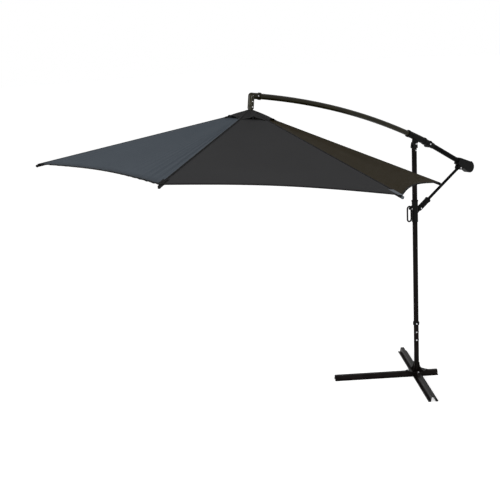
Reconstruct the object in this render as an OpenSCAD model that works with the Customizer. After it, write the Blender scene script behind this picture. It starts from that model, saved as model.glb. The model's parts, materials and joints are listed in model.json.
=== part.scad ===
// Cantilever parasol with a cross base, a banana boom and a six-rib canopy.
// Origin: mast axis at ground level. The boom lies in the XZ plane and reaches out along -X.

/* [Base] */
// Turn of the cross base about the mast, from the boom's plane (degrees)
base_turn = -33; // [-45:1:45]
// Reach of the long arm in front of the mast
arm_front = 720; // [500:5:900]
// Reach of the long arm behind the mast
arm_rear = 180; // [130:5:600]
// Reach of each half of the cross arm
arm_side = 640; // [450:5:800]
// Width of an arm over its two flanges
arm_w = 80; // [70:1:100]
// Height of an arm
arm_h = 42; // [34:1:60]
// Width of an arm's flat top
arm_top_w = 30; // [26:1:36]
// Width of each flange on the ground
arm_flange_w = 17; // [12:1:20]
// Sheet thickness of an arm
arm_t = 3; // [2:0.5:5]
// Height of the turned-up lip on each flange
arm_lip_h = 9; // [6:1:14]

/* [Mast] */
// Outside diameter of the mast
mast_d = 43; // [38:1:50]
// Wall of the mast tubes
mast_wall = 1.8; // [1.2:0.1:3]
// Height of the joint between foot post and upper mast
joint_z = 481; // [400:1:600]
// Length of the upper mast's spigot inside the post
spigot_l = 190; // [150:5:240]
// Side of the square foot plate
foot_plate_w = 140; // [124:1:160]
// Thickness of the foot plate
foot_plate_t = 6; // [4:0.5:10]
// Height of the gussets on the foot plate
gusset_h = 74; // [50:1:110]
// Radius of the circle of foot bolts
foot_bolt_r = 75; // [66:1:80]

/* [Boom] */
// Height of the boom's pivot on the mast head
pivot_z = 2027; // [1900:1:2200]
// Distance from the pivot up to the boom's centreline
pivot_drop = 57; // [50:1:70]
// Slope of the boom over the pivot (degrees)
pivot_slope = 24; // [20:0.5:28]
// Bend radius of the boom's centreline
boom_bend_r = 6000; // [5000:50:8000]
// Arc of the boom from the pivot to the elbow (degrees)
front_arc = 16.5; // [13:0.1:18]
// Arc of the boom from the pivot to the rear coupling (degrees)
rear_arc = 1.5; // [1.4:0.1:2]
// Outside diameter of the boom
boom_d = 43; // [38:1:50]
// Wall of the boom tubes
boom_wall = 1.5; // [1.2:0.1:3]
// Length of the straight rear tube, from coupling to winch axle
rear_l = 549; // [450:1:600]
// Kink of the rear tube at the coupling (degrees)
rear_kink = 2.3; // [0:0.1:4]

/* [Winch] */
// Radius of the round winch housing
winch_r = 48; // [44:1:60]
// Width of the winch housing
winch_w = 54; // [48:1:70]
// Wall of the winch housing
winch_wall = 3; // [2:0.5:5]
// Radius of the cord drum's core
drum_r = 18; // [12:1:24]
// Length of the crank arm between axle and knob
crank_l = 92; // [70:1:120]
// Length of the crank knob
knob_l = 72; // [55:1:90]

/* [Slider] */
// Height of the strut's pivot on the slider
slider_pin_z = 1476; // [1350:1:1520]
// Distance of the strut's pivot from the mast axis
slider_pin_x = 55; // [52:1:70]
// Outside diameter of the slider
slider_d = 52; // [50:1:58]
// Length of the slider
slider_l = 184; // [150:1:220]
// Width of the handle loop
loop_w = 58; // [50:1:80]
// Height of the handle loop
loop_h = 142; // [110:1:180]
// Diameter of the handle loop's bar
loop_bar_d = 14; // [10:1:18]
// Diameter of the strut tube
strut_d = 25; // [20:1:32]
// Outside diameter of the strut's socket
socket_d = 48; // [44:1:52]
// Length of the strut's socket, from the slider pivot
socket_l = 118; // [90:1:150]

/* [Canopy] */
// Turn of the canopy about its pole (degrees)
canopy_turn = 4.5; // [-10:0.5:10]
// Radius of the canopy at its rib tips
canopy_r = 1500; // [1200:5:1750]
// Drop of the canopy's apex below the elbow
apex_drop = 108; // [100:1:140]
// Drop of the canopy's tips below the elbow
rim_drop = 566; // [480:2:640]
// Diameter of the hanging pole
pole_d = 38; // [32:1:42]
// Radius of the ribs' hinge circle
hinge_r = 40; // [38:1:48]
// Width of a rib
rib_w = 12; // [10:0.5:16]
// Height of a rib
rib_h = 18; // [14:0.5:24]
// Wall of a rib
rib_wall = 1.2; // [1:0.1:2]
// Distance from a rib's hinge to its stretcher, and the stretcher's length
link_l = 232; // [200:4:250]
// Thickness of the cloth
cloth_t = 1; // [0.6:0.1:2]
// Radius of the vent opening at the ribs
vent_r = 150; // [120:5:200]
// Radius of the vent cap at its corners
cap_r = 215; // [190:5:260]
// Sag of each canopy panel between its ribs
panel_sag = 10; // [0:1:40]
// Share by which each hem curves in between its corners
hem_in = 0.044; // [0:0.002:0.06]

/* [Hidden] */
$fn = 48;
ribs = 6;
function numbered(name) = [for (i = [1 : ribs]) str(name, "_", i)];

// Colours
metal_black = "#1c1a19";
metal_bronze = "#2b2620";
plastic_black = "#141414";
bright_steel = "#8d8f92";
cloth_charcoal = "#3a3c40";

// Clearances
press = 0.1;      // between pieces that are fixed in each other
run = 0.05;       // radial, at a hinge pin
slide_gap = 0.3;  // radial, at a sliding piece
cheek_gap = 0.4;  // each side of a swinging piece
over = 1;         // how far a cut runs past a face

// Fasteners
m8_d = 8;
m8_head_d = 14.4;
m8_head_h = 5.3;
m6_d = 6;
m6_head_d = 12;
m6_head_h = 3.6;
pin_d = 5;

// ---------- frames ----------

// On the boom's centreline, arc degrees behind the pivot: X runs back along the tube, Z is up.
module boom_frame(arc = 0) {
    translate([0, 0, pivot_z]) rotate([0, pivot_slope, 0])
        translate([0, 0, pivot_drop - boom_bend_r]) rotate([0, arc, 0])
            translate([0, 0, boom_bend_r]) children();
}

// On the straight rear tube, x from the coupling.
module rear_frame(x = 0) {
    boom_frame(rear_arc) rotate([0, rear_kink, 0]) translate([x, 0, 0]) children();
}

// At the elbow's corner: Z up along the hanging pole, X towards the mast, turned with the canopy.
module canopy_frame() {
    boom_frame(-front_arc) rotate([0, 0, canopy_turn]) children();
}

// A rib's own frame: X runs out along the rib from its hinge, Z is up, Y along the hinge pin.
module rib_frame(i) {
    canopy_frame() rotate([0, 0, rib_angle(i)])
        translate([hinge_r, 0, -hinge_drop]) rotate([0, rib_slope, 0]) children();
}

// Slider pivot, strut direction along +X.
module strut_frame() {
    translate([slider_pin_x, 0, slider_pin_z]) rotate([0, -strut_angle, 0]) children();
}

function rib_angle(i) = -30 + (i - 1) * 360 / ribs;

// ---------- derived sizes ----------

hub_h = 38;
hub_r = hinge_r + 12;
rib_slope = atan((rim_drop - apex_drop) / canopy_r);
rib_below = 5;                       // channel below the hinge line
rib_above = rib_h - rib_below;       // channel above the hinge line
cloth_seat = 1.8;                    // cloth clear of the rib's flat top
hinge_drop = apex_drop + hinge_r * tan(rib_slope) + (cloth_t + cloth_seat + rib_above) / cos(rib_slope);
rib_len = (canopy_r - hinge_r) / cos(rib_slope) - 4;
link_drop = 2 * link_l * sin(rib_slope);          // crown hinge to runner hinge, canopy open
runner_drop = hinge_drop + link_drop;
fold_end = 82;                                    // a folded rib hangs this far below level
pole_end = hinge_drop + 2 * link_l * sin(fold_end) + hub_h / 2 + 8;
slot_r = norm([rib_below, rib_above]) + 1.2;      // rib end's swing
slot_w = rib_w + 2 * cheek_gap;
link_w = rib_w - 2 * rib_wall - 2 * cheek_gap;
link_slot_w = link_w + 2 * cheek_gap;
link_eye_r = 5;
link_slot_r = link_eye_r + 2;
elbow_d = 47;
elbow_leg = apex_drop - 14;          // ends just over the vent cap
elbow_arm = 78;
elbow_ring = 14;
elbow_screw_x = 49;                  // along the boom, from the corner
elbow_screw_z = [-42, -80];          // down the leg, from the corner
pulley_r = 15;

// rear tube and winch, seen along Y
pivot_to_axis = boom_bend_r - pivot_drop;
function boom_point(arc) = [
    (boom_bend_r * sin(pivot_slope + arc) - pivot_to_axis * sin(pivot_slope)),
    pivot_z + boom_bend_r * cos(pivot_slope + arc) - pivot_to_axis * cos(pivot_slope)];
rear_slope = pivot_slope + rear_arc + rear_kink;
function rear_point(x, z) = boom_point(rear_arc)
    + x * [cos(rear_slope), -sin(rear_slope)] + z * [sin(rear_slope), cos(rear_slope)];
lug_back = 111;                      // from the crank's axle back to the strut lug
lug_x = rear_l - lug_back;           // strut lug on the winch housing, along the rear tube
lug_z = -50;                         // and below it
lug_point = rear_point(lug_x, lug_z);
strut_span = lug_point - [slider_pin_x, slider_pin_z];
strut_angle = atan2(strut_span[1], strut_span[0]);
strut_l = norm(strut_span);

// ---------- shared shapes ----------

module tube(d, wall, l) {
    difference() {
        cylinder(d = d, h = l);
        translate([0, 0, -over]) cylinder(d = d - 2 * wall, h = l + 2 * over);
    }
}

// Sweeps a profile along the boom's centreline; the profile's x runs outwards from the bend's centre.
module boom_sweep(from, to) {
    translate([0, 0, pivot_z]) rotate([0, pivot_slope, 0]) translate([0, 0, pivot_drop - boom_bend_r])
        rotate([90, 0, 0]) rotate([0, 0, 90 - to])
            rotate_extrude(angle = to - from, $fn = 720) translate([boom_bend_r, 0]) children();
}

module ring(d, bore) {
    difference() {
        circle(d = d);
        circle(d = bore);
    }
}

// Hexagon bolt along +Z with its nut: head under z = 0, grip from 0 to grip.
module hex_bolt(d, head_d, head_h, grip) {
    translate([0, 0, -head_h]) cylinder(d = head_d, h = head_h, $fn = 6);
    cylinder(d = d, h = grip);
    translate([0, 0, grip]) cylinder(d = head_d, h = head_h, $fn = 6);
    translate([0, 0, grip + head_h]) cylinder(d = d, h = 2);
}

// Domed screw whose head seats on z = 0 and whose shank goes down.
module dome_screw(d, head_d, head_h, l) {
    rotate_extrude() intersection() {
        translate([0, head_h - head_dome(head_d, head_h)]) circle(r = head_dome(head_d, head_h));
        square([head_d / 2, head_h]);
    }
    translate([0, 0, -l]) cylinder(d = d, h = l + head_h / 4);
}
function head_dome(head_d, head_h) = (head_d * head_d / 4 + head_h * head_h) / (2 * head_h);

// ---------- base ----------

// Half of an arm's outline across its length, from the lip up to the top; grow moves it outwards.
function arm_half(grow) = [[arm_w / 2 + grow, 0], [arm_w / 2 + grow, arm_lip_h + grow],
    [arm_w / 2 - arm_t - grow, arm_lip_h + grow], [arm_w / 2 - arm_t - grow, arm_t + grow],
    [arm_w / 2 - arm_flange_w + grow, arm_t + grow], [arm_top_w / 2 + grow, arm_h + grow]];

// Section of an arm; without a wall it is the space that the arm fills.
module arm_profile(t = 0, grow = 0) {
    web_foot = arm_w / 2 - arm_flange_w;
    half = arm_half(grow);
    outer = concat(half, [for (i = [len(half) - 1 : -1 : 0]) [-half[i][0], half[i][1]]]);
    difference() {
        polygon(outer);
        if (t > 0) polygon([[-web_foot + t, -over], [web_foot - t, -over],
            [arm_top_w / 2 - t * 0.8, arm_h - t], [-arm_top_w / 2 + t * 0.8, arm_h - t]]);
    }
}

module arm_bar(from, to, t = 0, grow = 0) {
    translate([from, 0, 0]) rotate([90, 0, 90]) linear_extrude(to - from) arm_profile(t, grow);
}

lap_z = arm_h / 2;   // the arms cross in a half lap at this height

module arm_lap_zone(low, high) {
    translate([-arm_w, -arm_w, low]) cube([2 * arm_w, 2 * arm_w, high - low]);
}

module foot_bolt_places() {
    for (q = [0 : 3]) rotate([0, 0, q * 90]) translate([foot_bolt_r, 0, 0]) children();
}

module base_arm_long() color(metal_black) rotate([0, 0, base_turn]) difference() {
    arm_bar(-arm_front, arm_rear, arm_t);
    intersection() {
        rotate([0, 0, 90]) arm_bar(-arm_w, arm_w, 0, slide_gap);
        arm_lap_zone(lap_z, arm_h + over);
    }
    translate([0, 0, arm_h + over]) foot_bolt_places() mirror([0, 0, 1])
        cylinder(d = m8_d + 2 * press, h = arm_t + 2 * over);
}

module base_arm_cross() color(metal_black) rotate([0, 0, base_turn]) difference() {
    rotate([0, 0, 90]) arm_bar(-arm_side, arm_side, arm_t);
    intersection() {
        arm_bar(-arm_w, arm_w, 0, slide_gap);
        arm_lap_zone(-over, lap_z + slide_gap);
    }
    translate([0, 0, arm_h + over]) foot_bolt_places() mirror([0, 0, 1])
        cylinder(d = m8_d + 2 * press, h = arm_t + 2 * over);
}

// One gusset: a web with a hollow curved edge between the post and the plate.
gusset_t = 5;
gusset_toe = 8;
module gusset() {
    root = mast_d / 2 - 0.5;
    toe = foot_plate_w / 2 - 3;
    rotate([90, 0, 0]) translate([0, 0, -gusset_t / 2]) linear_extrude(gusset_t) polygon(concat(
        [[root, -over], [toe, -over]],
        [for (a = [0 : 6 : 90]) [toe - (toe - root - gusset_toe) * sin(a), gusset_h - (gusset_h - gusset_toe) * cos(a)]],
        [[root, gusset_h]]));
}

module mast_foot() color(metal_black) difference() {
    rotate([0, 0, base_turn]) translate([0, 0, arm_h]) difference() {
        union() {
            rotate([0, 0, 45]) translate([-foot_plate_w / 2, -foot_plate_w / 2, 0])
                cube([foot_plate_w, foot_plate_w, foot_plate_t]);
            cylinder(d = mast_d, h = joint_z - arm_h);
            for (q = [0 : 3]) rotate([0, 0, 45 + q * 90]) translate([0, 0, foot_plate_t]) gusset();
        }
        translate([0, 0, foot_plate_t]) cylinder(d = mast_d - 2 * mast_wall, h = joint_z);
        translate([0, 0, -over]) foot_bolt_places() cylinder(d = m8_d + 2 * press, h = foot_plate_t + 2 * over);
    }
    mast_screw_places() cylinder(d = m6_d + 2 * press, h = mast_d);
}

module foot_bolts() color(bright_steel) rotate([0, 0, base_turn]) translate([0, 0, arm_h - arm_t])
    foot_bolt_places() hex_bolt(m8_d, m8_head_d, m8_head_h, arm_t + foot_plate_t);

// ---------- mast ----------

screw_levels = [-8, -85, -157];   // from the joint; the first is the ring's
screw_l = 8;
head_screw_drop = 54;            // under the pivot

// Along each screw's axis, from the mast's axis outwards.
module mast_screw_places(levels = screw_levels) {
    for (level = levels, side = [[90, 0, 0], [0, 90, 0]])
        translate([0, 0, joint_z + level]) rotate([0, 0, base_turn]) rotate(side) children();
}

module mast_tube() color(metal_black) difference() {
    union() {
        translate([0, 0, joint_z]) tube(mast_d, mast_wall, pivot_z - head_body - joint_z);
        translate([0, 0, joint_z - spigot_l])
            tube(mast_d - 2 * mast_wall - 2 * press, mast_wall, spigot_l + 3 * mast_wall);
        translate([0, 0, joint_z]) tube(mast_d, mast_wall + 1.5, 3 * mast_wall);
    }
    mast_screw_places() cylinder(d = m6_d + 2 * press, h = mast_d);
    translate([0, 0, pivot_z - head_screw_drop]) rotate([90, 0, 0]) cylinder(d = m6_d + 2 * press, h = mast_d);
}

ring_t = 6;
ring_h = 30;
module mast_joint_ring() color(plastic_black) difference() {
    translate([0, 0, joint_z + screw_levels[0] - ring_h / 2]) rotate_extrude() difference() {
        translate([mast_d / 2 + press, 0]) square([ring_t, ring_h]);
        for (z = [0, ring_h]) translate([mast_d / 2 + press + ring_t, z]) rotate(45) square(4, center = true);
    }
    mast_screw_places([screw_levels[0]]) cylinder(d = m6_d + 2 * press, h = mast_d);
}

module mast_screws() color(bright_steel) {
    mast_screw_places([screw_levels[0]]) translate([0, 0, mast_d / 2 + ring_t + 2 * press])
        dome_screw(m6_d, m6_head_d, m6_head_h, screw_l + ring_t);
    mast_screw_places([screw_levels[1], screw_levels[2]]) translate([0, 0, mast_d / 2 + press])
        dome_screw(m6_d, m6_head_d, m6_head_h, screw_l);
    translate([0, 0, pivot_z - head_screw_drop]) rotate([90, 0, 0]) translate([0, 0, mast_d / 2 + press])
        dome_screw(m6_d, m6_head_d, m6_head_h, screw_l);
}

head_cheek = 9;
head_gap = 24;
head_body = 36;      // from the pivot down to the mast's end
head_plug = 42;
head_eye_r = 17;
module mast_head() color(plastic_black) difference() {
    union() {
        translate([0, 0, pivot_z - head_body - head_plug])
            cylinder(d = mast_d - 2 * mast_wall - 2 * press, h = head_plug + over);
        translate([0, 0, pivot_z - head_body]) cylinder(d = mast_d + 4, h = 9);
        translate([0, head_gap / 2 + head_cheek, pivot_z]) rotate([90, 0, 0])
            linear_extrude(head_gap + 2 * head_cheek) union() {
                circle(r = head_eye_r);
                polygon([[-mast_d / 2, -head_body], [mast_d / 2, -head_body], [mast_d / 2, -20],
                         [head_eye_r, 0], [-head_eye_r, 0], [-mast_d / 2, -20]]);
            }
    }
    translate([-mast_d, -head_gap / 2, pivot_z - 24]) cube([2 * mast_d, head_gap, 80]);
    translate([0, -mast_d, pivot_z]) rotate([-90, 0, 0]) cylinder(d = m8_d + 2 * press, h = 2 * mast_d);
    translate([0, 0, pivot_z - head_screw_drop]) rotate([90, 0, 0]) cylinder(d = m6_d + 2 * press, h = mast_d);
}

module pivot_bolt() color(bright_steel)
    translate([0, -head_gap / 2 - head_cheek - press, pivot_z]) rotate([-90, 0, 0])
        hex_bolt(m8_d, m8_head_d, m8_head_h, head_gap + 2 * head_cheek + 2 * press);

// ---------- boom ----------

saddle_d = boom_d + 12;
saddle_front = 0.95;   // degrees of arc in front of the pivot
saddle_rear = 0.97;    // and behind it
module boom_saddle() color(plastic_black) difference() {
    union() {
        boom_sweep(-saddle_front, saddle_rear) circle(d = saddle_d);
        for (arc = [-saddle_front, saddle_rear]) boom_sweep(arc - 0.06, arc + 0.06) circle(d = saddle_d + 6);
        // lug down to the pivot
        translate([0, head_gap / 2 - cheek_gap, pivot_z]) rotate([90, 0, 0])
            linear_extrude(head_gap - 2 * cheek_gap) union() {
                circle(r = 17);
                rotate(-pivot_slope) polygon([[-16, -5], [16, -5], [48, pivot_drop], [-34, pivot_drop]]);
            }
    }
    boom_sweep(-saddle_front - 0.2, saddle_rear + 0.2) circle(d = boom_d + 2 * press);
    translate([0, -mast_d, pivot_z]) rotate([-90, 0, 0]) cylinder(d = m8_d + 2 * run, h = 2 * mast_d);
    saddle_screw_places() cylinder(d = m6_d + 2 * press, h = saddle_d);
}

module saddle_screw_places() {
    for (arc = [-0.6, 0.65]) boom_frame(arc) rotate([90, 0, 0]) children();
}

module saddle_screws() color(bright_steel) saddle_screw_places()
    translate([0, 0, saddle_d / 2 + press]) dome_screw(m6_d, m6_head_d, m6_head_h, screw_l + 6);

module boom_tube() color(metal_bronze) difference() {
    boom_sweep(-front_arc + 0.2, rear_arc - 0.1) ring(boom_d, boom_d - 2 * boom_wall);
    saddle_screw_places() cylinder(d = m6_d + 2 * press, h = saddle_d);
    elbow_boom_screws() cylinder(d = pin_d + 2 * press, h = elbow_d);
}

coupling_d = 58;
coupling_w = 50;
module boom_coupling() color(plastic_black) difference() {
    union() {
        boom_frame(rear_arc) translate([0, coupling_w / 2, -6]) rotate([90, 0, 0]) cylinder(d = coupling_d, h = coupling_w);
        boom_frame(rear_arc) translate([-45, 0, 0]) rotate([0, 90, 0]) cylinder(d = boom_d + 7, h = 45);
        rear_frame(0) rotate([0, 90, 0]) cylinder(d = boom_d + 7, h = 56);
    }
    boom_sweep(rear_arc - 1, rear_arc - 0.08) circle(d = boom_d + 3 * press);
    rear_frame(8) rotate([0, 90, 0]) cylinder(d = boom_d + 2 * press, h = 60);
    boom_frame(rear_arc) translate([0, coupling_w, -6]) rotate([90, 0, 0]) cylinder(d = m8_d + 2 * press, h = 2 * coupling_w);
    // way of the lift cord over the bolt
    boom_frame(rear_arc) translate([-16, 0, 6]) rotate([0, 90, 0]) cylinder(d = 10, h = 32);
}

module coupling_bolt() color(bright_steel) boom_frame(rear_arc) translate([0, -coupling_w / 2 - press, -6])
    rotate([-90, 0, 0]) hex_bolt(m8_d, m8_head_d, m8_head_h, coupling_w + 2 * press);

module rear_tube() color(metal_black) rear_frame(10) rotate([0, 90, 0])
    tube(boom_d, boom_wall, rear_l - tube_stop - 10);

// ---------- winch ----------

// Side view of the housing in the rear tube's frame: grow moves its outline in or out.
neck_start = 153;    // before the axle
tube_stop = 76;      // end of the rear tube, before the axle
module winch_outline(grow = 0) {
    hull() {
        translate([rear_l, 0]) circle(r = winch_r + grow);
        translate([rear_l - neck_start, -boom_d / 2 - 8]) square([8, boom_d + 14]);
    }
    hull() {
        translate([lug_x, lug_z]) circle(r = 17 + grow);
        translate([rear_l - 70, -8]) circle(r = 20 + grow);
        translate([rear_l - 108, -8]) circle(r = 14 + grow);
    }
}

module winch_solid(grow, y0, y1) {
    rear_frame() translate([0, y1, 0]) rotate([90, 0, 0]) linear_extrude(y1 - y0) winch_outline(grow);
}

lug_gap = 14;
module winch_body() {
    difference() {
        winch_solid(0, -winch_w / 2, winch_w / 2);
        // room for the drum
        rear_frame(rear_l) rotate([90, 0, 0])
            cylinder(r = winch_r - winch_wall, h = winch_w - 2 * winch_wall, center = true);
        // socket of the rear tube
        rear_frame(rear_l - neck_start - over) rotate([0, 90, 0])
            cylinder(d = boom_d + 2 * press, h = neck_start + over - tube_stop + press);
        rear_frame(rear_l - tube_stop) rotate([0, 90, 0]) cylinder(d = 14, h = tube_stop - winch_r + 2 * winch_wall);
        // slot of the strut's end
        rear_frame() translate([lug_x, 0, lug_z]) rotate([90, 0, 0])
            cylinder(r = 26, h = lug_gap + 2 * cheek_gap, center = true);
        rear_frame() translate([lug_x, 0, lug_z]) rotate([90, 0, 0])
            cylinder(d = m8_d + 2 * press, h = winch_w + 2 * over, center = true);
        rear_frame(rear_l) rotate([90, 0, 0]) cylinder(d = 12 + 2 * run, h = winch_w + 2 * over, center = true);
        winch_screw_places() cylinder(d = 4 + 2 * press, h = winch_w + 2 * over, center = true);
    }
}

module winch_screw_places() {
    for (p = [[rear_l - 60, 18], [rear_l - 78, -30]]) rear_frame() translate([p[0], 0, p[1]])
        rotate([90, 0, 0]) children();
}

module winch_half(side) {
    intersection() {
        winch_body();
        rear_frame() translate([0, side > 0 ? press / 2 : -winch_w, -rear_l]) cube([2 * rear_l, winch_w - press / 2, 2 * rear_l]);
    }
}

module winch_shell_near() color(plastic_black) winch_half(-1);
module winch_shell_far() color(plastic_black) winch_half(1);

module winch_screws() color(bright_steel) winch_screw_places()
    translate([0, 0, winch_w / 2 + press]) dome_screw(4, 9, 3, winch_w - 6);

module cord_drum() color(plastic_black) rear_frame(rear_l) rotate([90, 0, 0]) difference() {
    union() {
        cylinder(r = drum_r, h = winch_w - 2 * winch_wall - 2 * cheek_gap, center = true);
        for (s = [-1, 1]) translate([0, 0, s * (winch_w / 2 - winch_wall - cheek_gap - 1.5)])
            cylinder(r = winch_r - winch_wall - 4, h = 3, center = true);
        cylinder(d = 12, h = winch_w - 2, center = true);
        translate([0, 0, -winch_w / 2 - 14]) cylinder(d = 12, h = 20);
    }
    translate([drum_r - 5, 0, 0]) cylinder(d = 4, h = winch_w, center = true);
}

crank_rise = 14;                     // over the level
crank_up = crank_rise + rear_slope;  // the crank arm's direction from the rear tube (degrees)
crank_y = winch_w / 2 + 2;
module crank_frame() {
    rear_frame(rear_l) rotate([0, -crank_up, 0]) children();
}

knob_d = 22;
knob_seat = 0.5;                     // knob clear of the arm
knob_pin_l = knob_l - 7;
knob_head_r = 6;
knob_head_h = 3;
module crank_arm() color(metal_black) crank_frame() difference() {
    translate([0, crank_y + 10, 0]) rotate([90, 0, 0]) union() {
        cylinder(d = 26, h = 10);
        linear_extrude(6) hull() {
            circle(d = 18);
            translate([crank_l, 0]) circle(d = 15);
        }
        // pin of the knob, with its head
        translate([crank_l, 0, -knob_seat - knob_pin_l]) cylinder(d = m8_d, h = knob_pin_l + 2);
        translate([crank_l, 0, -knob_seat - knob_pin_l - knob_head_h]) cylinder(r = knob_head_r, h = knob_head_h);
    }
    translate([0, crank_y - over, 0]) rotate([-90, 0, 0]) cylinder(d = 12 + 2 * press, h = 12);
}

// Turns on the crank's pin, and is snapped over the pin's head.
module crank_knob() color(plastic_black) crank_frame()
    translate([crank_l, crank_y + 10 + knob_seat, 0]) rotate([-90, 0, 0]) rotate_extrude() difference() {
        union() {
            square([knob_d / 2, knob_l - 1]);
            translate([0, knob_l - 1]) scale([1, 0.5]) circle(d = knob_d);
            square([knob_d / 2 + 2, 5]);
        }
        translate([0, -over]) square([m8_d / 2 + run, knob_l - knob_head_h]);
        translate([0, knob_pin_l - slide_gap]) square([knob_head_r + slide_gap, knob_head_h + 2 * slide_gap]);
        translate([-knob_d, -knob_d]) square([knob_d, knob_l + 2 * knob_d]);
    }

// ---------- slider, handle and strut ----------

slider_low = slider_pin_z - 108;
handle_x = -slider_d / 2 - 21;
handle_z = slider_low + slider_l - 67;
lug_t = 16;
module slider_collar() color(plastic_black) difference() {
    union() {
        translate([0, 0, slider_low]) rotate_extrude() union() {
            square([slider_d / 2, slider_l]);
            translate([0, slider_l - 10]) square([slider_d / 2 + 3, 10]);
            square([slider_d / 2 + 1.5, 8]);
        }
        // lug of the strut
        translate([0, lug_t / 2, slider_pin_z]) rotate([90, 0, 0]) linear_extrude(lug_t) union() {
            translate([slider_pin_x, 0]) circle(r = 15);
            translate([slider_d / 2 - 4, -40]) square([6, 60]);
            polygon([[slider_d / 2, -40], [slider_pin_x + 6, -13.5], [slider_pin_x + 3, 14.5], [slider_d / 2, 20]]);
        }
        // ears of the handle
        for (s = [-1, 1]) translate([0, s * 11 + 2.5, handle_z]) rotate([90, 0, 0]) linear_extrude(5) union() {
            translate([handle_x, 0]) circle(r = 11);
            polygon([[-slider_d / 2 + 5, 26], [-slider_d / 2 + 5, -20], [handle_x, -11], [handle_x - 6, 9]]);
        }
    }
    translate([0, 0, slider_low - over]) cylinder(d = mast_d + 2 * slide_gap, h = slider_l + 2 * over);
    translate([slider_pin_x, 0, slider_pin_z]) rotate([90, 0, 0]) cylinder(d = m8_d + 2 * press, h = slider_d, center = true);
    translate([handle_x, 0, handle_z]) rotate([90, 0, 0]) cylinder(d = pin_d + 2 * press, h = slider_d, center = true);
    // window of the brake shoe
    translate([-slider_d / 2 - over, -8 - slide_gap, handle_z - 13 - slide_gap]) cube([14, 16 + 2 * slide_gap, 26 + 2 * slide_gap]);
}

module slider_shoe() color(plastic_black) difference() {
    translate([-slider_d / 2 - 5, -8, handle_z - 13]) cube([14, 16, 26]);
    cylinder(d = mast_d + 2 * slide_gap, h = 2 * pivot_z);
}

module slider_handle() color(plastic_black) {
    mid_x = handle_x + 11 - loop_w / 2;
    r = (loop_w - loop_bar_d) / 2;
    straight = loop_h - loop_w;
    top_z = handle_z;
    difference() {
        union() {
            for (s = [-1, 1]) translate([mid_x + s * r, 0, top_z - straight]) cylinder(d = loop_bar_d, h = straight);
            translate([mid_x, 0, top_z]) rotate([90, 0, 0])
                rotate_extrude(angle = 180) translate([r, 0]) circle(d = loop_bar_d);
            translate([mid_x, 0, top_z - straight]) rotate([90, 0, 0]) rotate([0, 0, 180])
                rotate_extrude(angle = 180) translate([r, 0]) circle(d = loop_bar_d);
            translate([handle_x, 0, handle_z]) rotate([90, 0, 0]) cylinder(r = 10, h = 16, center = true);
        }
        translate([handle_x, 0, handle_z]) rotate([90, 0, 0]) cylinder(d = pin_d + 2 * run, h = slider_d, center = true);
    }
}

module handle_pin() color(bright_steel) translate([handle_x, 0, handle_z]) rotate([90, 0, 0]) union() {
    cylinder(d = pin_d, h = 27, center = true);
    for (s = [-1, 1]) translate([0, 0, s * 14.6]) cylinder(d = 9, h = 2, center = true);
}

module strut_socket() color(plastic_black) strut_frame() difference() {
    union() {
        rotate([0, 90, 0]) cylinder(d = socket_d, h = socket_l);
        sphere(d = socket_d);
        translate([socket_l - 9, 0, 0]) rotate([0, 90, 0]) cylinder(d = socket_d + 6, h = 9);
    }
    // fork over the slider's lug
    translate([-socket_d, -lug_t / 2 - cheek_gap, -socket_d]) cube([socket_d + 30, lug_t + 2 * cheek_gap, 2 * socket_d]);
    rotate([90, 0, 0]) cylinder(d = m8_d + 2 * run, h = 2 * socket_d, center = true);
    translate([44, 0, 0]) rotate([0, 90, 0]) cylinder(d = strut_d + 2 * press, h = socket_l);
    // flats for the bolt's head and nut
    for (s = [-1, 1]) translate([0, s * (socket_d / 2 + 12), 0]) cube([38, 36, 38], center = true);
}

module strut_lower_bolt() color(bright_steel) strut_frame() translate([0, -19 - press, 0]) rotate([-90, 0, 0])
    hex_bolt(m8_d, m8_head_d, m8_head_h, 38 + 2 * press);

module strut_tube() color(metal_black) strut_frame() translate([46, 0, 0]) rotate([0, 90, 0])
    tube(strut_d, 1.5, strut_l - 46 - 38);

end_bore = 22;      // oversize: the strut only follows the boom closely
module strut_end() color(metal_black) strut_frame() difference() {
    union() {
        translate([strut_l, lug_gap / 2, 0]) rotate([90, 0, 0]) linear_extrude(lug_gap) union() {
            circle(r = 15);
            translate([-32, -11]) square([32, 22]);
        }
        translate([strut_l - 58, 0, 0]) rotate([0, 90, 0]) cylinder(d = strut_d - 3 - 2 * press, h = 30);
    }
    translate([strut_l, 0, 0]) rotate([90, 0, 0]) cylinder(d = end_bore, h = 2 * lug_gap, center = true);
}

module strut_upper_bolt() color(bright_steel) rear_frame() translate([lug_x, -winch_w / 2 - press, lug_z])
    rotate([-90, 0, 0]) hex_bolt(m8_d, m8_head_d, m8_head_h, winch_w + 2 * press);

// ---------- elbow and hanging pole ----------

module elbow_boom_screws() {
    boom_frame(-front_arc) translate([elbow_screw_x, 0, 0]) rotate([90, 0, 0]) children();
}

module elbow_leg_screws() {
    for (z = elbow_screw_z) boom_frame(-front_arc) translate([0, 0, z]) rotate([90, 0, 0]) children();
}

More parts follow.
